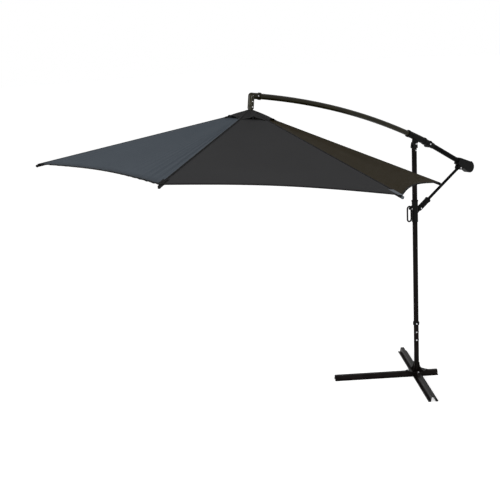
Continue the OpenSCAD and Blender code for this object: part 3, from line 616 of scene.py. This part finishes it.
@dataclass(frozen=True)
class Sewn:
    """Sizes of one sewn piece, the canopy or the vent cap, in metres and shares.

    Attributes:
        name: Name of its gores.
        node: CAD node that it stands for.
        inner: Distance of its inner edge from the pole, along a rib.
        outer: Distance of its hem from the pole, along a rib.
        top: Drop below the hinges at which its slope meets the pole.
        slope: Drop for each metre outwards.
        sag: Greatest dip at mid-panel.
        hem: Share by which the hem is drawn in at mid-panel.
        rows: Rows of faces from the inner edge to the tip patch.
        cols: Columns of faces from the tip patch to mid-panel.
        folded: Share of its width that a gore keeps when the canopy is folded; not used.
        seam: Half the width of the tape along a rib.
        bind: Width of the hem's binding.
        patch: Half the width, and the length, of the tip patch.
        thick: Thickness of the cloth.
        step: Width of the slope at a tape's edge.
        tape_lift: Height of a tape over the cloth.
        patch_lift: Height of the tip patch over the cloth.
        under: Share of these heights by which the underside swells.
        dip_start: The dip follows a sine outwards, from this angle to 180 degrees at the hem.
        hem_loss: Rough allowance in the flat area, as a share of the hem's draw. The draw by itself
            takes off about twice as much, and the folds' slack gives some back. Not used.
    """

    name: str
    node: str
    inner: float
    outer: float
    top: float
    slope: float
    sag: float
    hem: float
    rows: int
    cols: int
    folded: float
    seam: float = 0.010
    bind: float = 0.014
    patch: tuple[float, float] = (0.026, 0.085)
    thick: float = 0.001
    step: float = 0.002
    tape_lift: float = 0.0016
    patch_lift: float = 0.0008
    under: float = 0.3
    dip_start: float = 30.0
    hem_loss: float = 0.6

    @property
    def length(self) -> float:
        """Distance from the inner edge to the hem, square to the pole."""
        return self.outer - self.inner

    def away(self, out: float) -> float:
        """Gives the distance from the pole at a share of the way outwards."""
        return self.inner + self.length * out

    def shares_out(self) -> list[float]:
        """Gives the rows' shares outwards, with rows at the patch's end and at the binding's edge.

        Returns:
            Shares from 0 at the inner edge to 1 at the hem.
        """
        ends = [self.patch[1], self.bind + self.step, self.bind, 0.0]
        first = 1 - ends[0] / self.length
        plain = [first * row / self.rows for row in range(self.rows)]
        return plain + [1 - end / self.length for end in ends]

    def shares_across(self, away: float) -> list[float]:
        """Gives the columns' shares from a rib to mid-panel, some at the tape's and patch's edges.

        Args:
            away: Distance from the pole at the rib.

        Returns:
            Shares from 0 to 0.5.
        """
        near = [0.0, (self.seam - self.step) / away, self.seam / away, self.patch[0] / away]
        left = 0.5 - near[-1]
        return near + [near[-1] + left * (column + 1) / self.cols for column in range(self.cols)]

    def dip(self, across: float, out: float) -> float:
        """Gives the dip of the cloth between the ribs.

        Args:
            across: Share across the panel.
            out: Share outwards.

        Returns:
            The dip in metres.
        """
        angle = math.radians(self.dip_start + (180 - self.dip_start) * out)
        return self.sag * math.sin(math.pi * across) ** 2 * math.sin(angle)

    def lift(self, column: int, row: int, last: int, upper: bool) -> float:
        """Gives how far a face of the cloth lies over the cloth's own surface.

        Args:
            column: Column, counted from the rib.
            row: Row, counted from the inner edge.
            last: The hem's row.
            upper: Whether it is the upper face.

        Returns:
            The height in metres.
        """
        taped = column < TAPE_COLUMN or row >= last - 1
        patched = column <= PATCH_COLUMN and row >= last - PATCH_ROWS
        height = self.tape_lift if taped else self.patch_lift if patched else 0.0
        return height if upper else -self.under * height - self.thick


@dataclass
class LaidCloth:
    """A gore while it is sewn.

    Attributes:
        upper: Rows of vertices of the upper face.
        lower: Rows of vertices of the lower face.
        normals: Normal of each vertex in the order made, or a zero one where the faces give it.
        sewing: Place of each vertex on the sewing map.
    """

    upper: list[list[Vertex]] = field(default_factory=list)
    lower: list[list[Vertex]] = field(default_factory=list)
    normals: list[Vector] = field(default_factory=list)
    sewing: dict[Vertex, tuple[float, float]] = field(default_factory=dict)


@dataclass
class ClothMaker:
    """Sews gores that meet at the middle of each panel, one around each rib.

    Attributes:
        axes: The canopy's axes.
        seam: Material of the tapes.
        reach: Step to each side, in shares across and outwards, over which a normal is measured.
    """

    axes: CanopyAxes
    seam: Material
    reach: float = 1e-4

    def surface(self, cut: Sewn, folds: Folds, panel: int, across: float, out: float,
                lift: float = 0.0) -> Vector:
        """Gives a point of the cloth.

        Args:
            cut: The piece's sizes.
            folds: Height of the folds by panel, share across, share outwards and distance from the pole.
            panel: Panel, counted by its first rib from 0.
            across: Share across the panel, 0 to 1.
            out: Share from the inner edge to the hem.
            lift: Height over the cloth.

        Returns:
            The point in the part's frame.
        """
        first, second = self.axes.radial[panel % RIBS], self.axes.radial[(panel + 1) % RIBS]
        away = cut.away(out)
        drawn = away * (1 - cut.hem * out * out * math.sin(math.pi * across))
        drop = cut.top + drawn * cut.slope + cut.dip(across, out) - folds(panel, across, out, away) - lift
        return self.axes.point((first * (1 - across) + second * across) * drawn, drop)

    def facing(self, cut: Sewn, folds: Folds, panel: int, across: float, out: float) -> Vector:
        """Gives the cloth's upward normal, which neighbouring gores share.

        Args:
            cut: The piece's sizes.
            folds: Height of the folds.
            panel: Panel, counted by its first rib from 0.
            across: Share across the panel.
            out: Share outwards.

        Returns:
            The normal.
        """
        outwards = self.surface(cut, folds, panel, across, min(1, out + self.reach))
        outwards -= self.surface(cut, folds, panel, across, max(0, out - self.reach))
        sideways = self.surface(cut, folds, panel, across + self.reach, out)
        sideways -= self.surface(cut, folds, panel, across - self.reach, out)
        normal = outwards.cross(sideways).normalized()
        return normal if normal.dot(self.axes.down) < 0 else -normal

    @staticmethod
    def _stations(cut: Sewn, rib: int, away: float) -> list[tuple[int, float, int]]:
        """Gives the columns of one row, from one mid-panel over the rib to the other.

        Args:
            cut: The piece's sizes.
            rib: The rib, counted from 0.
            away: The row's distance from the pole.

        Returns:
            Panel, share across it and column counted from the rib, for each station.
        """
        shares = cut.shares_across(away)
        left = [((rib - 1) % RIBS, 1 - share, -column) for column, share in enumerate(shares)][:0:-1]
        return left + [(rib, share, column) for column, share in enumerate(shares)]

    def _lay(self, bm: bmesh.types.BMesh, cut: Sewn, rib: int, folds: Folds) -> LaidCloth:
        """Lays out the vertices of both faces of a gore.

        Args:
            bm: The mesh that is made.
            cut: The piece's sizes.
            rib: The rib, counted from 0.
            folds: Height of the folds.

        Returns:
            The cloth, with no faces yet.
        """
        cloth = LaidCloth()
        shares = cut.shares_out()
        for row, out in enumerate(shares):
            away = cut.away(out)
            stations = self._stations(cut, rib, away)
            for upper, layer in ((True, cloth.upper), (False, cloth.lower)):
                line = []
                for panel, across, column in stations:
                    lift = cut.lift(abs(column), row, len(shares) - 1, upper)
                    vert = bm.verts.new(self.surface(cut, folds, panel, across, out, lift))
                    beside = (across if column >= 0 else 1 - across) * away
                    cloth.sewing[vert] = (away, min(beside, (1 - out) * cut.length))
                    normal = Vector()
                    if abs(column) == len(stations) // 2:
                        normal = self.facing(cut, folds, panel, across, out) * (1 if upper else -1)
                    cloth.normals.append(normal)
                    line.append(vert)
                layer.append(line)
        return cloth

    @staticmethod
    def _skin(bm: bmesh.types.BMesh, cloth: LaidCloth) -> None:
        """Adds both faces of the cloth, each in its panel's, the tape's or the patch's material.

        Args:
            bm: The mesh that is made.
            cloth: The laid cloth.
        """
        last = len(cloth.upper) - 1
        rib = len(cloth.upper[0]) // 2
        for upper, grid in ((True, cloth.upper), (False, cloth.lower)):
            for row in range(last):
                for column in range(2 * rib):
                    inner, outer = (line[column:column + 2] for line in grid[row:row + 2])
                    quad = [*inner, *outer[::-1]]
                    face = bm.faces.new(quad if upper else quad[::-1])
                    beside = abs(column + 0.5 - rib)
                    face.material_index = GorePart.LEFT_PANEL if column < rib else GorePart.RIGHT_PANEL
                    if beside < TAPE_COLUMN or row == last - 1:
                        face.material_index = GorePart.TAPE
                    if beside < PATCH_COLUMN and row >= last - PATCH_ROWS:
                        face.material_index = GorePart.PATCH

    @staticmethod
    def _rim(bm: bmesh.types.BMesh, cloth: LaidCloth) -> None:
        """Closes the cloth's edges between its upper and lower face.

        Args:
            bm: The mesh that is made.
            cloth: The laid cloth.
        """
        top, low = cloth.upper, cloth.lower
        last, end = len(top) - 1, len(top[0]) - 1
        loop = [(0, column) for column in range(end + 1)]
        loop += [(row, end) for row in range(1, last + 1)]
        loop += [(last, column) for column in range(end - 1, -1, -1)]
        loop += [(row, 0) for row in range(last - 1, 0, -1)]
        for (row, column), (next_row, next_column) in zip(loop, loop[1:] + loop[:1]):
            face = bm.faces.new((top[next_row][next_column], top[row][column],
                                 low[row][column], low[next_row][next_column]))
            face.material_index = GorePart.TAPE

    def gore(self, cut: Sewn, rib: int, folds: Folds, mats: list[Material]) -> bpy.types.Object:
        """Sews the cloth around one rib, with its felled seam, hem binding and tip patch.

        Args:
            cut: The piece's sizes.
            rib: The rib, counted from 0.
            folds: Height of the folds.
            mats: Materials in the order of GorePart.

        Returns:
            The gore, closed all round.
        """
        bm = bmesh.new()
        sewing = bm.loops.layers.uv.new(SEWING_MAP)
        cloth = self._lay(bm, cut, rib, folds)
        self._skin(bm, cloth)
        self._rim(bm, cloth)
        for face in bm.faces:
            face.smooth = True
            for loop in face.loops:
                loop[sewing].uv = cloth.sewing[loop.vert]
        bmesh.ops.recalc_face_normals(bm, faces=bm.faces)
        mesh = bpy.data.meshes.new(f"{cut.name}_{rib + 1}")
        bm.to_mesh(mesh)
        bm.free()
        mesh.normals_split_custom_set_from_vertices(cloth.normals)
        for mat in mats:
            mesh.materials.append(mat)
        obj = bpy.data.objects.new(mesh.name, mesh)
        bpy.context.collection.objects.link(obj)
        return obj


@dataclass(frozen=True)
class FoldSet:
    """One set of folds that run outwards beside a rib, as a wave with angles in radians.

    Attributes:
        share: Its share of the folds' height.
        count: How many folds a panel's width would hold.
        drift: Angle by which they drift from the inner edge to the hem.
        sway: Angle by which they sway to and fro on the way.
        sway_rate: Angle of that sway from the inner edge to the hem.
        shift: Angle between one panel's folds and the next one's.
    """

    share: float
    count: float
    drift: float
    sway: float
    sway_rate: float
    shift: float

    def height(self, panel: int, gap: float, out: float, turn: float) -> float:
        """Gives the wave's height.

        Args:
            panel: Panel, counted by its first rib from 0.
            gap: Share of the panel's width from the rib.
            out: Share outwards.
            turn: Angle at which the rib's side starts.

        Returns:
            The height, at most its share.
        """
        angle = 2 * math.pi * self.count * gap + self.sway * math.sin(self.sway_rate * out + turn)
        return self.share * math.sin(angle + self.drift * out + self.shift * panel + turn)


@dataclass(frozen=True)
class CanopySlack:
    """How much folded slack each panel holds, and where its folds run.

    Attributes:
        amount: Slack of each panel.
        sets: The sets of folds.
        height: Height of the folds at full slack.
        held: Distance from a rib at which its seam lets the cloth go.
        fan: Share of a panel over which the folds die out.
        sides: Strength and starting angle of the folds beside a panel's second rib and beside its first.
        tight: Share of the folds' height at the inner edge.
        broad: Height of the broad waves over the whole panel.
        broad_turn: Angle that they run through from rib to rib.
        broad_shift: Angle between one panel's and the next one's.
        broad_end: Half-waves that they make outwards. What goes beyond the first is left out.
        edges: Start and gain outwards, in half-waves, of the bell that flattens both edges.
    """

    amount: tuple[float, ...] = (0.35, 1.2, 0.3, 2.2, 0.10, 0.3)
    sets: tuple[FoldSet, ...] = (
        FoldSet(share=0.6, count=19, drift=0.0, sway=1.6, sway_rate=2.6, shift=1.3),
        FoldSet(share=0.4, count=33, drift=2.9, sway=0.0, sway_rate=0.0, shift=1.7),
    )
    height: float = 0.0034
    held: float = 0.022
    fan: float = 0.26
    sides: tuple[tuple[float, float], ...] = ((1.0, 0.0), (0.45, 2.0))
    tight: float = 0.35
    broad: float = 0.0015
    broad_turn: float = 11.0
    broad_shift: float = 1.9
    broad_end: float = 1.05
    edges: tuple[float, float] = (0.06, 0.9)

    def folds(self, panel: int, across: float, out: float, away: float) -> float:
        """Gives the long folds that fan out from the tips beside the ribs.

        Args:
            panel: Panel, counted by its first rib from 0.
            across: Share across the panel.
            out: Share outwards.
            away: Distance from the pole.

        Returns:
            Height in metres.
        """
        height = 0.0
        for gap, (strength, turn) in zip((1 - across, across), self.sides):
            free = 1 - math.exp(-((gap * away / self.held) ** 2))
            wave = sum(one.height(panel, gap, out, turn) for one in self.sets)
            height += self.height * strength * free * math.exp(-((gap / self.fan) ** 2)) * wave
        height *= self.amount[panel % RIBS] * (self.tight + (1 - self.tight) * out)
        broad = self.broad * math.sin(self.broad_turn * across + self.broad_shift * panel)
        broad *= math.sin(math.pi * across) * math.sin(math.pi * min(1, self.broad_end * out))
        start, gain = self.edges
        return (height + broad) * math.sin(math.pi * min(1, start + gain * out)) ** 0.5


@dataclass(frozen=True)
class CapRuffles:
    """The vent cap's ruffles: it lifts between the ribs and ripples towards its free edge.

    Attributes:
        lift: Height of the free edge at mid-panel.
        pull: Drop of the free edge at a rib.
        ripple: Height of the ripples of the free edge.
        ripples: Share, count around the pole and starting angle of each set of ripples.
        calm: Share of the ripples that is left at a rib.
        pleat: Height of the pleats half-way outwards.
        pleats: Count around the pole and starting angle of the pleats.
    """

    lift: float = 0.010
    pull: float = 0.007
    ripple: float = 0.005
    ripples: tuple[tuple[float, int, float], ...] = ((0.55, 15, 0.6), (0.45, 24, 1.9))
    calm: float = 0.35
    pleat: float = 0.004
    pleats: tuple[int, float] = (9, 0.9)

    def folds(self, panel: int, across: float, out: float, away: float) -> float:
        """Gives the ruffles, which don't depend on the distance from the pole.

        Args:
            panel: Panel, counted by its first rib from 0.
            across: Share across the panel.
            out: Share outwards.
            away: Distance from the pole, not used.

        Returns:
            Height in metres.
        """
        turn = (panel + across) * 2 * math.pi / RIBS
        free = math.sin(math.pi * across) ** 2
        ripple = sum(share * math.sin(count * turn + start) for share, count, start in self.ripples)
        edge = self.lift * free + self.ripple * ripple * (self.calm + (1 - self.calm) * free)
        edge -= self.pull * (1 - free)
        count, start = self.pleats
        return edge * out ** 2 + self.pleat * math.sin(math.pi * out) * math.sin(count * turn + start)


@dataclass
class Canopy:
    """The canopy's six panels and the vent cap over them.

    Attributes:
        axes: The canopy's axes.
        maker: The maker of the gores.
        cloths: Material of each tone of painted light.
        cap: Material of the vent cap.
        pocket: Material of the end pocket at one tip, painted pale as painted light.
        slack: The panels' folds.
        ruffles: The vent cap's ruffles.
        painted_light_by_panel: Tone of painted light and shade of each panel, counted by its first rib.
        lit_pocket_tip: The rib whose end pocket is painted pale as lit, counted from 0.
    """

    axes: CanopyAxes
    maker: ClothMaker
    cloths: dict[Panel, Material]
    cap: Material
    pocket: Material
    slack: CanopySlack = CanopySlack()
    ruffles: CapRuffles = CapRuffles()
    # Painted light and shade by panel: slate panels painted lit, olive ones painted shaded, charcoal ones plain.
    painted_light_by_panel: tuple[Panel, ...] = (
        Panel.SHADED_OLIVE, Panel.LIT_SLATE, Panel.CHARCOAL, Panel.LIT_SLATE, Panel.CHARCOAL, Panel.SHADED_OLIVE)
    lit_pocket_tip: int = 5

    def _cut(self, name: str, node: str, **sizes: float | tuple[float, float]) -> Sewn:
        """Works out a piece's reach and slope from its CAD solid.

        Args:
            name: Name of its gores.
            node: CAD node that it stands for.
            sizes: The sizes that the solid doesn't give.

        Returns:
            The sizes.
        """
        over_ribs: list[tuple[float, float]] = []
        for vertex in frame["nodes"][node].data.vertices:
            aside = vertex.co - self.axes.centre
            drop = aside.dot(self.axes.down)
            level = aside - self.axes.down * drop
            along = max(level.normalized().dot(rib) for rib in self.axes.radial)
            if level.length > NEAR and along > ALONG:
                over_ribs.append((level.length, drop))
        inner, outer = min(over_ribs)[0], max(over_ribs)[0]
        high, low = (min(drop for away, drop in over_ribs if abs(away - edge) < NEAR)
                     for edge in (inner, outer))
        slope = (low - high) / (outer - inner)
        return Sewn(name, node, inner=inner, outer=outer, top=high - inner * slope, slope=slope, **sizes)

    def _hang(self, cut: Sewn, folds: Folds, mats: Callable[[int], list[Material]]) -> None:
        """Args:
            cut: The piece's sizes.
            folds: Height of the folds.
            mats: The gore's materials by rib.
        """
        for rib in range(RIBS):
            obj = self.maker.gore(cut, rib, folds, mats(rib))
            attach(obj, f"rib_{rib + 1}")
            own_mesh(obj)
            if rib == 0:
                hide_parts(cut.node)
            log.info("sewn %s", obj.name)

    def _panel_mats(self, rib: int) -> list[Material]:
        """Gives a canopy gore's materials, in the order of GorePart.

        Args:
            rib: The rib, counted from 0.

        Returns:
            The materials.
        """
        left, right = self.cloths[self.painted_light_by_panel[(rib - 1) % RIBS]], self.cloths[self.painted_light_by_panel[rib]]
        return [left, right, self.maker.seam, self.pocket if rib == self.lit_pocket_tip else self.maker.seam]

    def build(self) -> None:
        """Builds the canopy and the cap."""
        canopy = self._cut("canopy_gore", "canopy", sag=0.010, hem=0.044, rows=40, cols=46, folded=0.16)
        self._hang(canopy, self.slack.folds, self._panel_mats)
        cap = self._cut("vent_gore", "vent_cap", sag=0.0, hem=0.10, rows=16, cols=30, folded=0.33,
                        seam=0.006, bind=0.008, patch=(0.008, 0.012))
        self._hang(cap, self.ruffles.folds, lambda rib: [self.cap, self.cap, self.maker.seam, self.cap])


# ---------- studio ----------


@dataclass(frozen=True)
class Lamp:
    """A square soft lamp.

    Attributes:
        name: The lamp's name.
        place: Where it stands.
        power: Its power in watts.
        size: Its side in metres.
    """

    name: str
    place: Place
    power: float
    size: float

    def build(self, aim: Place) -> None:
        """Places the lamp.

        Args:
            aim: The point that it faces.
        """
        data = bpy.data.lights.new(self.name, "AREA")
        data.energy = self.power
        data.size = self.size
        lamp = bpy.data.objects.new(self.name, data)
        lamp.location = self.place
        lamp.rotation_euler = (Vector(aim) - Vector(self.place)).to_track_quat("-Z", "Y").to_euler()
        bpy.context.collection.objects.link(lamp)


@dataclass(frozen=True)
class Studio:
    """Pale floor, soft light and the camera.

    Attributes:
        eye: The camera's place.
        yaw: Its turn about the vertical, in degrees.
        pitch: How far it looks down, in degrees.
        roll: Its tilt about its own axis, in degrees.
        lens: Focal length in millimetres.
        sensor: Width of the sensor in millimetres.
        sky: Strength of the world's light.
        floor_half: Half the floor's side.
        floor_shade: Shade of the floor.
        floor_rough: Roughness of the floor.
        floor_white: Light that the floor adds for the camera, so that it shows white.
        aim: The point that the lamps face.
        lamps: The lamps.
    """

    eye: Place = (-5.75, -5.78, 2.997)
    yaw: float = -34.93
    pitch: float = 12.66
    roll: float = -2.84
    lens: float = 69.7968
    sensor: float = 36.0
    sky: float = 0.5
    floor_half: float = 60.0
    floor_shade: float = 0.9
    floor_rough: float = 0.9
    floor_white: float = 0.55
    aim: Place = (-0.8, 0.0, 1.8)
    lamps: tuple[Lamp, ...] = (
        Lamp("key", (-5.2, -8.2, 4.2), power=380, size=1.6),
        Lamp("side", (-8.5, 1.0, 4.2), power=330, size=4.0),
    )

    def build(self) -> None:
        """Builds the camera, the floor, the lamps and the world."""
        self._camera()
        self._floor()
        for lamp in self.lamps:
            lamp.build(self.aim)
        self._world()
        bpy.context.scene.view_settings.view_transform = "Standard"

    def _camera(self) -> None:
        """Places the camera."""
        yaw, pitch, roll = (math.radians(angle) for angle in (self.yaw, self.pitch, self.roll))
        forward = math.cos(pitch)
        ahead = Vector((-math.sin(yaw) * forward, math.cos(yaw) * forward, -math.sin(pitch)))
        level = Vector((math.cos(yaw), math.sin(yaw), 0))
        steep = level.cross(ahead)
        right = level * math.cos(roll) + steep * math.sin(roll)
        up = -level * math.sin(roll) + steep * math.cos(roll)
        data = bpy.data.cameras.new("camera")
        data.sensor_width = self.sensor
        data.lens = self.lens
        camera = bpy.data.objects.new("camera", data)
        bpy.context.collection.objects.link(camera)
        turned = Matrix((right, up, -ahead)).transposed().to_4x4()
        camera.matrix_world = Matrix.Translation(Vector(self.eye)) @ turned
        bpy.context.scene.camera = camera

    @staticmethod
    def _show(tree: Tree, plain: Socket, shown: Socket, target: Socket) -> None:
        """Shows one shader to camera, glossy and transmission rays, and another to all other rays.

        Args:
            tree: The node tree.
            plain: The shader for all other rays.
            shown: The shader that is seen.
            target: Where the choice goes.
        """
        path = tree.nodes.new("ShaderNodeLightPath")
        mask = path.outputs["Is Camera Ray"]
        for ray in ("Is Glossy Ray", "Is Transmission Ray"):
            mask = math_node(tree, "MAXIMUM", mask, path.outputs[ray])
        pick = tree.nodes.new("ShaderNodeMixShader")
        for socket, source in zip(pick.inputs, (mask, plain, shown)):
            tree.links.new(source, socket)
        tree.links.new(pick.outputs[0], target)

    def _floor(self) -> None:
        """Builds the floor, which shows white to the camera and keeps the shadow."""
        half = self.floor_half
        mesh = bpy.data.meshes.new("floor")
        corners = [(-half, -half, 0), (half, -half, 0), (half, half, 0), (-half, half, 0)]
        mesh.from_pydata(corners, [], [(0, 1, 2, 3)])
        floor = bpy.data.objects.new("floor", mesh)
        bpy.context.collection.objects.link(floor)
        mat = bpy.data.materials.new("pale_floor")
        mat.use_nodes = True
        nodes, links = mat.node_tree.nodes, mat.node_tree.links
        shader = nodes["Principled BSDF"]
        shader.inputs["Base Color"].default_value = (*[self.floor_shade] * 3, 1)
        shader.inputs["Roughness"].default_value = self.floor_rough
        white = nodes.new("ShaderNodeEmission")
        white.inputs["Strength"].default_value = self.floor_white
        lit = nodes.new("ShaderNodeAddShader")
        links.new(shader.outputs[0], lit.inputs[0])
        links.new(white.outputs[0], lit.inputs[1])
        surface = nodes["Material Output"].inputs["Surface"]
        self._show(mat.node_tree, shader.outputs[0], lit.outputs[0], surface)
        mesh.materials.append(mat)

    def _world(self) -> None:
        """Builds the world: soft light all round, and white to the camera."""
        world = bpy.data.worlds.new("world")
        bpy.context.scene.world = world
        world.use_nodes = True
        nodes = world.node_tree.nodes
        light, white = nodes["Background"], nodes.new("ShaderNodeBackground")
        for background, strength in ((light, self.sky), (white, 1.0)):
            background.inputs["Color"].default_value = (1, 1, 1, 1)
            background.inputs["Strength"].default_value = strength
        surface = nodes["World Output"].inputs["Surface"]
        self._show(world.node_tree, light.outputs[0], white.outputs[0], surface)


def main() -> None:
    """Builds the studio, dresses the rigid pieces and sews the canopy."""
    logging.basicConfig(level=logging.INFO)
    Studio().build()
    groups = EffectGroups()
    Dresser(groups).build()
    axes = CanopyAxes()
    cloths = {panel: finish.build(groups) for panel, finish in CLOTHS.items()}
    maker = ClothMaker(axes, SEAM.build(groups))
    Canopy(axes, maker, cloths, CAP.build(groups), LIT_POCKET.build(groups)).build()


if __name__ == "__main__":
    main()
